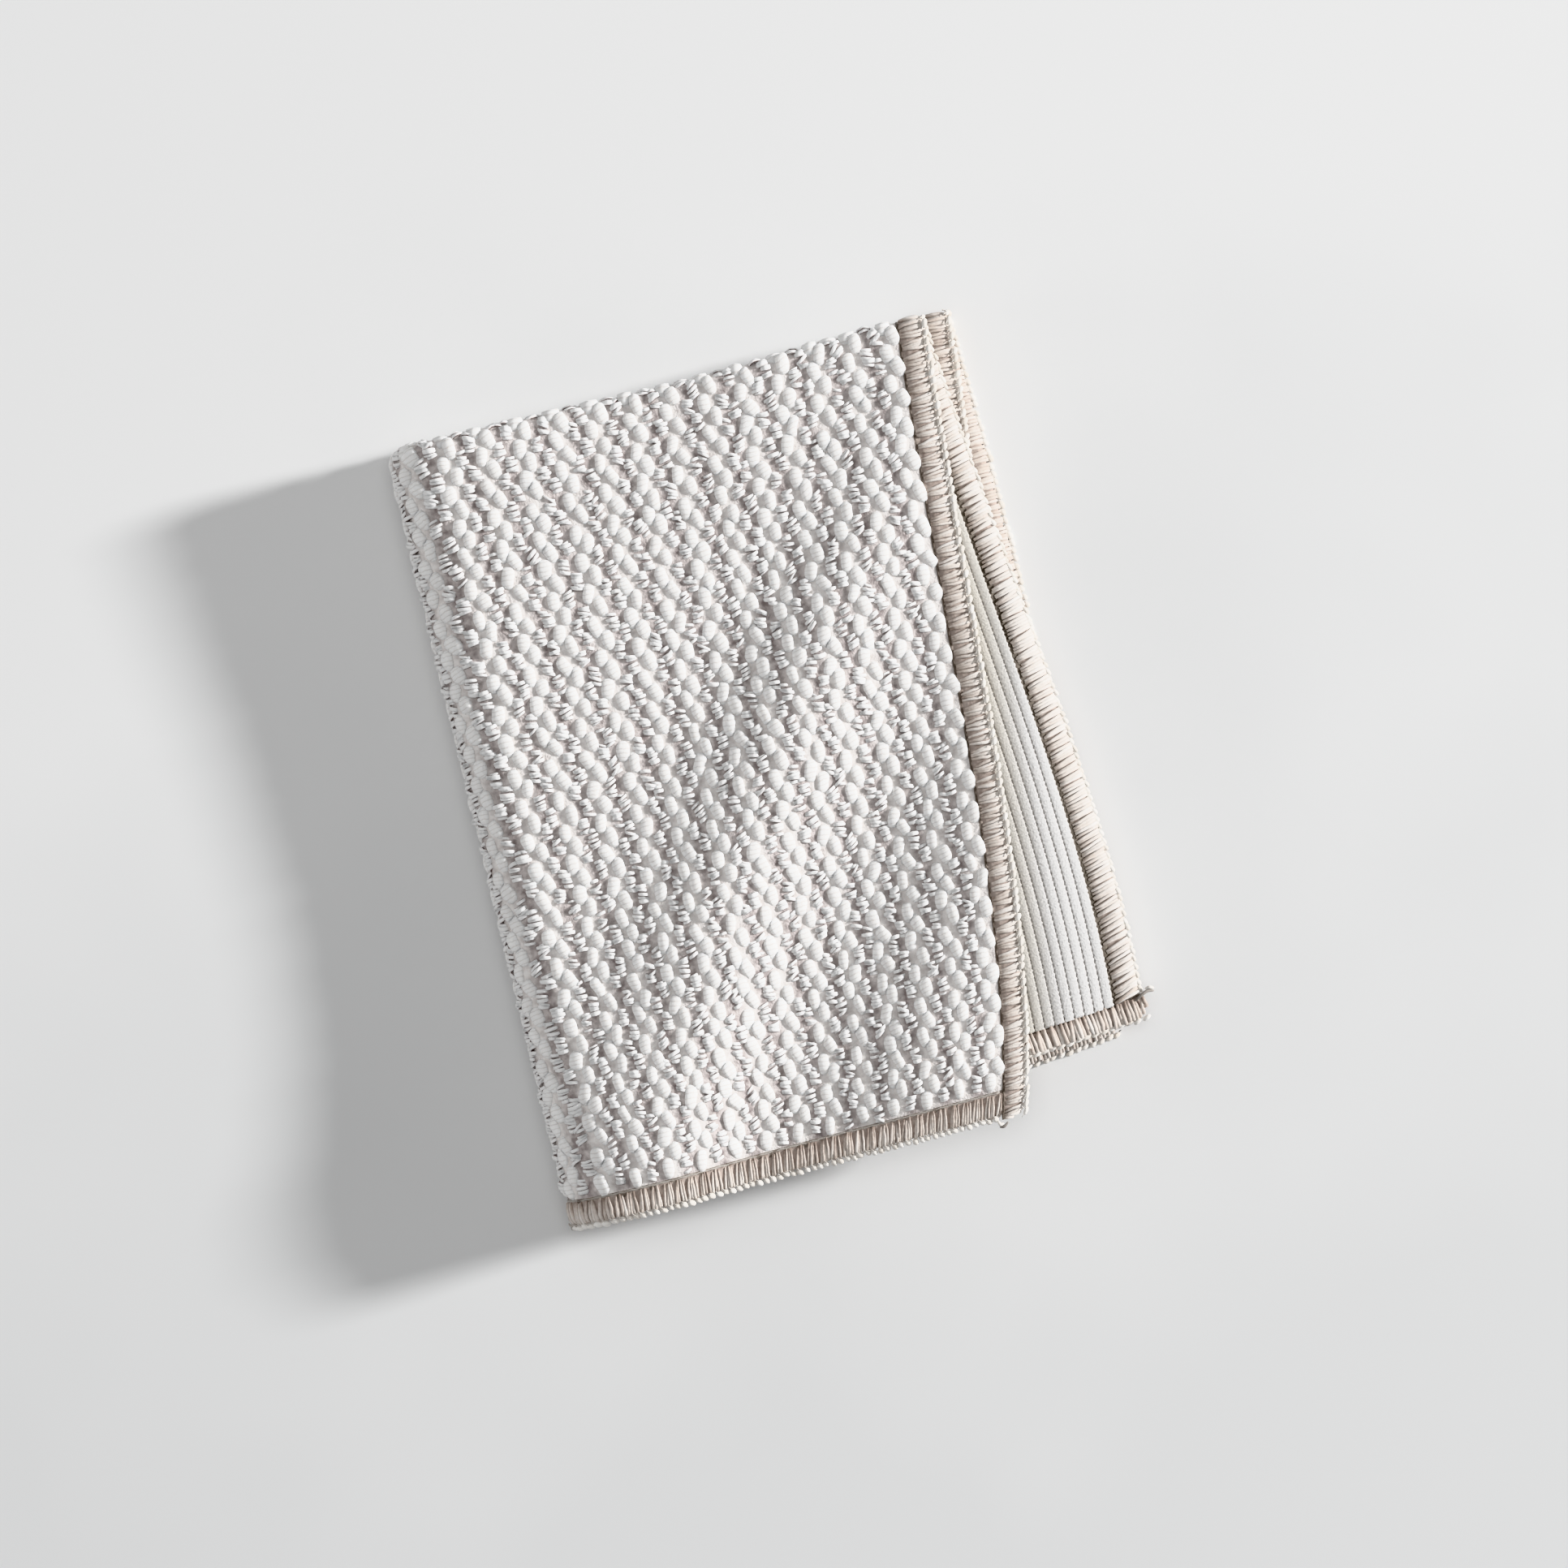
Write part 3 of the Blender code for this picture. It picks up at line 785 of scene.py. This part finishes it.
def tick_set(side):
    """The short dark threads that tie each loop of the chain to the strands."""
    _out, _half, start, end = SIDES[side]
    count = int((end - start) / CHAIN_STEP)
    run = start + np.arange(count) * CHAIN_STEP + chance.normal(0.0, 0.00012, count)
    length, out, across_chain, rise, half_width, half_height = TICK
    share = np.linspace(0.0, 1.0, 4)
    at = run[:, None] + (length + chance.normal(0.0, 0.00012, (count, 1))) * share
    sunk = 0.0012 * stitch_facts(side, run)[2][:, None]
    lift = on_face(side, run, rise - 0.00020 * share**2 - sunk)
    centre = on_side(side, out + across_chain * share, at, lift)
    (out_x, out_y) = SIDES[side][0]
    beside = vectors(-out_y, out_x, 0.0) * half_width
    up = vectors(0.0, 0.0, half_height)
    return tube_points(centre, beside + 0.0 * centre, up + 0.0 * centre, 4)


def needle_line(side):
    """The dark thread in the crease where the strands go into the knit, wavy as its stitches, dark partly
    as painted shade of the crease.
    """
    _out, _half, start, end = SIDES[side]
    rise, sway, half_width, half_height = NEEDLE_THREAD
    run = np.arange(start + NEEDLE_INSET, end - NEEDLE_INSET, NEEDLE_STEP)[None, :]
    wave = np.sin(2 * math.pi * run / (STRAND_STEP * STRANDS_PER_STITCH) * 2)
    lift = on_face(side, run[0], np.full((run.size, 1), rise)).T
    past_knit = smooth_step((start + CASING_WIDTH - run) / 0.0008)
    lift = lift * (1.0 + 0.9 * past_knit)
    centre = on_side(side, -0.00002 + sway * wave, run, lift)
    (out_x, out_y) = SIDES[side][0]
    inward = vectors(-out_x, -out_y, 0.0) * half_width
    up = vectors(0.0, 0.0, half_height)
    return tube_points(centre, inward + 0.0 * centre, up + 0.0 * centre, 4)


def thread_tail(points):
    """A loose end of thread through a few points of the flat cloth."""
    stops = np.linspace(0.0, len(points) - 1.0, 9)
    rows = np.array(points)
    centre = np.stack([np.interp(stops, np.arange(len(rows)), column) for column in rows.T], axis=-1)
    centre[1:-1] = (centre[:-2] + 2.0 * centre[1:-1] + centre[2:]) / 4
    ahead = np.gradient(centre, axis=0)
    ahead = ahead / np.linalg.norm(ahead, axis=1, keepdims=True)
    side = np.cross(ahead, vectors(0.0, 0.0, 1.0))
    side = side / np.linalg.norm(side, axis=1, keepdims=True)
    up = np.cross(side, ahead)
    taper = np.sin(np.linspace(0.25, math.pi - 0.25, 9))[:, None] ** 0.5 * TAIL_THICKNESS
    return tube_points(centre, side * taper, up * taper, 6)[None]


def add_chain(finish):
    """The chain, its ties, the needle line and the loose ends, in one piece."""
    beads = np.concatenate([bead_set(side) for side in range(4)])
    ticks = np.concatenate([tick_set(side) for side in range(4)])
    groups = [(beads, 0.0), (ticks, 0.40)]
    # The needle lines' darkness is partly painted shade of the crease
    groups += [(needle_line(side), NEEDLE_LINE_THREAD_AND_SHADE[side]) for side in range(4)]
    groups += [(thread_tail(points), darkness) for darkness, points in THREAD_TAILS]
    flat, quads, dark, tone = [], [], [], []
    used = 0
    for tubes, darkness in groups:
        count, rings, around = tubes.shape[:3]
        flat.append(tubes.reshape(-1, 3))
        quads.append(tube_quads(count, rings, around) + used)
        dark.append(np.full(tubes.size // 3, darkness))
        tone.append(np.repeat(chance.random(count), rings * around))
        used += tubes.size // 3
    flat, quads = np.concatenate(flat), np.concatenate(quads)
    values = {"dark": np.concatenate(dark), "tone": np.concatenate(tone)}
    return add_piece("edge_chain", flat, quads, finish, values)


def add_core(finish):
    """What the strands are wrapped round: one ring with a rounded section."""
    stops = []
    for side in range(4):
        half_run = KNIT_HALF_LENGTH if side % 2 == 0 else KNIT_HALF_WIDTH
        (out_x, out_y), half, _start, _end = SIDES[side]
        heading = math.atan2(out_y, out_x)
        for run in np.linspace(-half_run, half_run, int(2 * half_run / CORE_STEP)):
            x, y = out_x * half - out_y * run, out_y * half + out_x * run
            stops.append((x, y, out_x, out_y))
        for turn in np.radians(CORNER_TURNS):
            c, s = math.cos(heading + turn), math.sin(heading + turn)
            size = (abs(c) ** CORNER_POWER + abs(s) ** CORNER_POWER) ** (1 / CORNER_POWER)
            stops.append((x, y, c / size, s / size))
    stops = np.array(stops)
    rings = [
        vectors(stops[:, 0] + reach * stops[:, 2], stops[:, 1] + reach * stops[:, 3], lift)
        for reach, lift in CORE_SECTION
    ]
    flat = np.stack(rings)
    i = np.arange(len(CORE_SECTION))[:, None]
    k = np.arange(len(stops))[None, :]
    j, n = (i + 1) % len(CORE_SECTION), (k + 1) % len(stops)
    count = len(stops)
    quads = np.stack([i * count + k, j * count + k, j * count + n, i * count + n], axis=-1)
    values = {"tone": np.zeros(flat.shape[:2])}
    return add_piece("edge_core", flat, quads.reshape(-1, 4), finish, values)


# Finishes


def new_finish(name, roughness, sheen, specular, soft=0.0):
    """A material with a Principled shader: its node tree and that shader."""
    made = bpy.data.materials.new(name)
    made.use_nodes = True
    shader = made.node_tree.nodes["Principled BSDF"]
    shader.inputs["Roughness"].default_value = roughness
    shader.inputs["Sheen Weight"].default_value = sheen
    shader.inputs["Sheen Roughness"].default_value = 0.5
    shader.inputs["Specular IOR Level"].default_value = specular
    shader.inputs["Subsurface Weight"].default_value = soft
    shader.inputs["Subsurface Radius"].default_value = (1.0, 0.97, 0.94)
    shader.inputs["Subsurface Scale"].default_value = YARN_DEPTH
    return made, made.node_tree, shader


def attribute(tree, name):
    """The socket of a number stored on the mesh."""
    node = tree.nodes.new("ShaderNodeAttribute")
    node.attribute_name = name
    return node.outputs["Fac"]


def noise(tree, scale, detail=3.0):
    """A noise number in the object's own space."""
    place = tree.nodes.new("ShaderNodeTexCoord")
    node = tree.nodes.new("ShaderNodeTexNoise")
    node.inputs["Scale"].default_value = scale
    node.inputs["Detail"].default_value = detail
    tree.links.new(place.outputs["Object"], node.inputs["Vector"])
    return node.outputs["Fac"]


def feed(tree, socket, value):
    """Links a socket or sets a number."""
    if hasattr(value, "is_output"):
        tree.links.new(value, socket)
    else:
        socket.default_value = value


def maths(tree, operation, a, b=0.0, c=0.0):
    """One Math node."""
    node = tree.nodes.new("ShaderNodeMath")
    node.operation = operation
    for socket, value in zip(node.inputs, (a, b, c)):
        feed(tree, socket, value)
    return node.outputs[0]


def ramp(tree, fac, stops):
    """A colour ramp through (place, colour) stops."""
    node = tree.nodes.new("ShaderNodeValToRGB")
    elements = node.color_ramp.elements
    while len(elements) < len(stops):
        elements.new(0.5)
    for element, (place, colour) in zip(elements, stops):
        element.position = place
        element.color = (*colour, 1.0)
    feed(tree, node.inputs["Fac"], fac)
    return node.outputs["Color"]


def mix(tree, fac, a, b):
    """A mix of two colours."""
    node = tree.nodes.new("ShaderNodeMix")
    node.data_type = "RGBA"
    feed(tree, node.inputs[0], fac)
    tree.links.new(a, node.inputs[6])
    tree.links.new(b, node.inputs[7])
    return node.outputs[2]


def multiply(tree, a, b):
    """One colour times another."""
    node = tree.nodes.new("ShaderNodeMix")
    node.data_type = "RGBA"
    node.blend_type = "MULTIPLY"
    node.inputs[0].default_value = 1.0
    tree.links.new(a, node.inputs[6])
    tree.links.new(b, node.inputs[7])
    return node.outputs[2]


def bump(tree, shader, height, distance):
    """Fine relief."""
    node = tree.nodes.new("ShaderNodeBump")
    node.inputs["Distance"].default_value = distance
    node.inputs["Strength"].default_value = 1.0
    feed(tree, node.inputs["Height"], height)
    tree.links.new(node.outputs["Normal"], shader.inputs["Normal"])


def nub_finish():
    """White yarn with faint turns, painted shade faint in the grooves between them, and painted shade
    dark in the gaps between the turns of striped nubs.
    """
    made, tree, shader = new_finish("nub_yarn", 0.9, 0.1, 0.15, 0.8)
    tone = attribute(tree, "tone")
    mottle = noise(tree, 900.0)
    fine = noise(tree, 4200.0, 2.0)
    white_fac = maths(tree, "MULTIPLY_ADD", tone, 0.5, maths(tree, "MULTIPLY", mottle, 0.5))
    white = ramp(tree, white_fac, ((0.2, (0.84, 0.83, 0.82)), (0.8, (0.91, 0.902, 0.89))))
    bent = maths(tree, "MULTIPLY_ADD", maths(tree, "SUBTRACT", mottle, 0.5), 0.7, attribute(tree, "wrap"))
    wave = maths(tree, "COSINE", maths(tree, "MULTIPLY", bent, 2 * math.pi))
    crest = maths(tree, "MULTIPLY_ADD", wave, 0.5, 0.5)
    # Painted shade between the yarn's turns: faint on white nubs, dark in the gaps of striped ones
    groove_shade = ramp(tree, crest, ((0.0, (0.83, 0.815, 0.805)), (0.20, (1.0, 1.0, 1.0))))
    gap_shade = ramp(tree, crest, ((0.0, (0.26, 0.23, 0.20)), (0.34, (1.0, 1.0, 1.0))))
    yarn = multiply(tree, white, mix(tree, attribute(tree, "striped"), groove_shade, gap_shade))
    tree.links.new(yarn, shader.inputs["Base Color"])
    height = maths(tree, "MULTIPLY_ADD", maths(tree, "POWER", crest, 0.35), 0.6, fine)
    bump(tree, shader, height, 0.00007)
    return made


def curl_finish():
    """White curls, with painted shade brown where one lies against the next."""
    made, tree, shader = new_finish("curled_yarn", 0.85, 0.1, 0.2, 0.5)
    fine = noise(tree, 2600.0, 2.0)
    patch = noise(tree, 380.0)
    # Painted shade darkens each curl towards its sides, with random patches and tone
    shade_and_tone = maths(tree, "MULTIPLY_ADD", maths(tree, "SUBTRACT", fine, 0.5), 0.30, attribute(tree, "painted_shade_side"))
    shade_and_tone = maths(tree, "MULTIPLY_ADD", maths(tree, "SUBTRACT", patch, 0.5), 0.45, shade_and_tone)
    shade_and_tone = maths(tree, "MULTIPLY_ADD", attribute(tree, "tone"), 0.10, shade_and_tone)
    colour = ramp(
        tree,
        shade_and_tone,
        (
            (0.64, (0.89, 0.88, 0.87)),
            (0.82, (0.80, 0.775, 0.76)),
            (0.92, (0.42, 0.365, 0.35)),
            (0.99, (0.13, 0.10, 0.095)),
        ),
    )
    tree.links.new(colour, shader.inputs["Base Color"])
    bump(tree, shader, fine, 0.00008)
    return made


def ground_finish():
    """The base loops: pale warm grey, browner under the striped columns, and white on the back, with
    painted shade in the crease at the border and painted light paling the left fold's flank.
    """
    made, tree, shader = new_finish("ground_yarn", 0.9, 0.15, 0.2)
    spots = noise(tree, 700.0)
    fine = noise(tree, 2200.0)
    plain = ramp(tree, spots, ((0.35, (0.74, 0.70, 0.675)), (0.65, (0.89, 0.865, 0.845))))
    browner = ramp(tree, spots, ((0.35, (0.25, 0.21, 0.205)), (0.65, (0.58, 0.525, 0.51))))
    back = ramp(tree, spots, ((0.3, (0.62, 0.61, 0.60)), (0.7, (0.78, 0.775, 0.77))))
    crease_shade_face = ramp(tree, spots, ((0.3, (0.15, 0.12, 0.10)), (0.8, (0.38, 0.33, 0.29))))
    crease_shade_back = ramp(tree, spots, ((0.3, (0.06, 0.05, 0.04)), (0.8, (0.22, 0.19, 0.16))))
    face = mix(tree, attribute(tree, "striped"), plain, browner)
    colour = mix(tree, attribute(tree, "back"), face, back)
    # Painted shade: the ground is dark in the crease beside the border
    margin = maths(tree, "LESS_THAN", attribute(tree, "spare"), PAINTED_CREASE_SHADE_WIDTH)
    colour = mix(tree, margin, colour, mix(tree, attribute(tree, "back"), crease_shade_face, crease_shade_back))
    tree.links.new(colour, shader.inputs["Base Color"])
    bump(tree, shader, fine, 0.00025)
    return made


def rib_finish():
    """Smooth white knit ribs, with painted shade as a fine dark line between them and as a creamy tint
    beside the top layer's edge.
    """
    made, tree, shader = new_finish("rib_yarn", 0.8, 0.15, 0.3)
    fine = noise(tree, 2600.0)
    # Painted shade: the ribs' sides, where they meet, are drawn as a dark line
    uneven = maths(tree, "MULTIPLY_ADD", maths(tree, "SUBTRACT", fine, 0.5), 0.14, attribute(tree, "painted_shade_side"))
    white = ramp(
        tree,
        uneven,
        (
            (0.82, (0.645, 0.637, 0.63)),
            (0.93, (0.57, 0.55, 0.53)),
            (1.0, (0.18, 0.15, 0.13)),
        ),
    )
    # Painted shade beside the top layer's edge, as a creamy tint
    edge_shade_tint = ramp(
        tree, attribute(tree, "painted_edge_shade"), ((0.0, (1.0, 1.0, 1.0)), (1.0, (0.90, 0.86, 0.76)))
    )
    tree.links.new(multiply(tree, white, edge_shade_tint), shader.inputs["Base Color"])
    beat = maths(tree, "MULTIPLY", attribute(tree, "beat"), 2 * math.pi)
    height = maths(tree, "MULTIPLY_ADD", maths(tree, "SINE", beat), 0.4, fine)
    bump(tree, shader, height, 0.00018)
    return made


def thread_finish():
    """Taupe to cream thread, with painted shade darkening it where the strands go into the knit."""
    made, tree, shader = new_finish("overlock_thread", 0.55, 0.25, 0.45)
    tone = attribute(tree, "tone")
    streak = noise(tree, 1500.0)
    fac = maths(tree, "MULTIPLY_ADD", maths(tree, "SUBTRACT", streak, 0.5), 0.5, tone)
    # Painted shade towards the strands' inner ends
    fac = maths(tree, "MULTIPLY_ADD", attribute(tree, "inward"), -0.50, fac)
    colour = ramp(
        tree,
        fac,
        (
            (0.0, (0.32, 0.25, 0.21)),
            (0.3, (0.59, 0.515, 0.46)),
            (0.65, (0.78, 0.73, 0.685)),
            (1.0, (0.90, 0.87, 0.84)),
        ),
    )
    tree.links.new(colour, shader.inputs["Base Color"])
    bump(tree, shader, noise(tree, 4000.0, 2.0), 0.00006)
    return made


def core_finish():
    """The shaded thread under the strands."""
    made, tree, shader = new_finish("overlock_core_thread", 0.8, 0.1, 0.2)
    colour = ramp(
        tree, noise(tree, 900.0), ((0.3, (0.32, 0.26, 0.23)), (0.7, (0.50, 0.43, 0.39)))
    )
    tree.links.new(colour, shader.inputs["Base Color"])
    bump(tree, shader, noise(tree, 3000.0), 0.00010)
    return made


def chain_finish():
    """Pale loops with brown ties."""
    made, tree, shader = new_finish("chain_thread", 0.6, 0.2, 0.35)
    tone = attribute(tree, "tone")
    fine = noise(tree, 2600.0)
    fac = maths(tree, "MULTIPLY_ADD", fine, 0.5, maths(tree, "MULTIPLY", tone, 0.5))
    pale = ramp(tree, fac, ((0.1, (0.66, 0.61, 0.55)), (0.8, (0.88, 0.86, 0.83))))
    dark = ramp(tree, fine, ((0.2, (0.05, 0.04, 0.03)), (0.8, (0.20, 0.16, 0.13))))
    colour = mix(tree, attribute(tree, "dark"), pale, dark)
    tree.links.new(colour, shader.inputs["Base Color"])
    bump(tree, shader, fine, 0.00008)
    return made


# The surroundings


def add_floor():
    """A pale top, painted darker towards the bottom as painted light falloff, and faintly mottled."""
    mesh = bpy.data.meshes.new("floor")
    size = FLOOR_HALF_SIZE
    corners = ((-size, -size, 0.0), (size, -size, 0.0), (size, size, 0.0), (-size, size, 0.0))
    mesh.from_pydata(corners, [], [(0, 1, 2, 3)])
    made, tree, shader = new_finish("pale_top", 0.45, 0.0, 0.3)
    place = tree.nodes.new("ShaderNodeTexCoord")
    split = tree.nodes.new("ShaderNodeSeparateXYZ")
    tree.links.new(place.outputs["Object"], split.inputs["Vector"])
    # Painted light falloff: the top is painted darker towards the bottom
    falloff_and_cloud = maths(tree, "MULTIPLY_ADD", split.outputs["Y"], 2.0, noise(tree, 6.0))
    colour = ramp(
        tree, falloff_and_cloud, ((0.2, (0.70, 0.703, 0.703)), (0.7, (0.79, 0.79, 0.788)))
    )
    tree.links.new(colour, shader.inputs["Base Color"])
    mesh.materials.append(made)
    floor = bpy.data.objects.new("floor", mesh)
    bpy.context.scene.collection.objects.link(floor)


def add_light(name, place, aim, size, power):
    """A soft round light."""
    light = bpy.data.lights.new(name, "AREA")
    light.shape = "DISK"
    light.size = size
    light.energy = power
    made = bpy.data.objects.new(name, light)
    made.location = place
    direction = np.array(aim) - np.array(place)
    yaw = math.atan2(direction[1], direction[0])
    pitch = math.atan2(math.hypot(direction[0], direction[1]), -direction[2])
    made.rotation_euler = (pitch, 0.0, yaw - math.pi / 2)
    bpy.context.scene.collection.objects.link(made)


def add_surroundings():
    """The floor, the light from the right, two soft fills, the room and the camera overhead."""
    add_floor()
    rise = math.radians(KEY_RISE)
    turn = math.radians(KEY_TURN)
    place = (
        KEY_AWAY * math.cos(rise) * math.cos(turn),
        KEY_AWAY * math.cos(rise) * math.sin(turn),
        KEY_AWAY * math.sin(rise),
    )
    add_light("key", place, BUNDLE_AIM, KEY_SIZE, KEY_POWER)
    add_light("fill", (0.0, 0.5, 3.8), (0.0, 0.0, 0.0), FILL_SIZE, FILL_POWER)
    add_light("bounce", (-3.0, 0.0, 0.45), BUNDLE_AIM, BOUNCE_SIZE, BOUNCE_POWER)
    world = bpy.data.worlds.new("room")
    world.use_nodes = True
    sky = world.node_tree.nodes["Background"]
    sky.inputs["Color"].default_value = (0.99, 0.995, 1.0, 1.0)
    sky.inputs["Strength"].default_value = ROOM_STRENGTH
    bpy.context.scene.world = world
    camera = bpy.data.cameras.new("camera")
    camera.sensor_width = SENSOR_WIDTH
    camera.lens = SENSOR_WIDTH * CAMERA_HEIGHT / SEEN_WIDTH
    camera.clip_start = 0.01
    camera.clip_end = 20.0
    made = bpy.data.objects.new("camera", camera)
    made.location = (*CAMERA_AIM, CAMERA_HEIGHT)
    made.rotation_euler = (0.0, 0.0, -CAMERA_ROLL)
    bpy.context.scene.collection.objects.link(made)
    bpy.context.scene.camera = made
    bpy.context.scene.view_settings.view_transform = "Khronos PBR Neutral"


def build():
    """Everything, with the CAD nodes replaced by the finer pieces."""
    yarn = nub_finish()
    curled = curl_finish()
    ground = add_ground(ground_finish())
    nubs = nub_table()
    across, along, striped = nubs[:, 0], nubs[:, 1], nubs[:, 2]
    white = striped < 0.5
    top = (across > TOP_LAYER_FROM) & (along < TOP_FOLD_FROM)
    left_fold = (across > LEFT_FOLD_TO) & (along < 0.0)
    top_fold = (along > TOP_FOLD_FROM) & (along < TOP_FOLD_TO)
    fold = ~top & (left_fold | top_fold)
    rest = ~top & ~fold
    under = rest & (along < 0.0)
    at_edge = (np.abs(across) > MARGIN_ACROSS) | (along > MARGIN_ALONG)
    margin = rest & (along > 0.0) & at_edge
    full = FOLD_FULLNESS
    pieces = [
        add_nubs("nubs_white", nubs[top & white], FINE_NUB, yarn),
        add_nubs("nubs_striped", nubs[top & ~white], COARSE_NUB, curled, True),
        add_nubs("nubs_on_folds", nubs[fold & white], FOLD_NUB, yarn, False, full),
        add_nubs("striped_on_folds", nubs[fold & ~white], COARSE_NUB, curled, True, full),
        add_nubs("nubs_underneath", nubs[under | margin], COARSE_NUB, yarn),
        add_ribs(rib_finish()),
    ]
    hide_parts("knit_panel")
    thread = thread_finish()
    core = add_core(core_finish())
    strands = add_strands("edge_strands", (0, 1, 2, 3), thread)
    chain = add_chain(chain_finish())
    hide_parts("overlocked_edge")
    pieces += [core, strands, chain]


build()
add_surroundings()
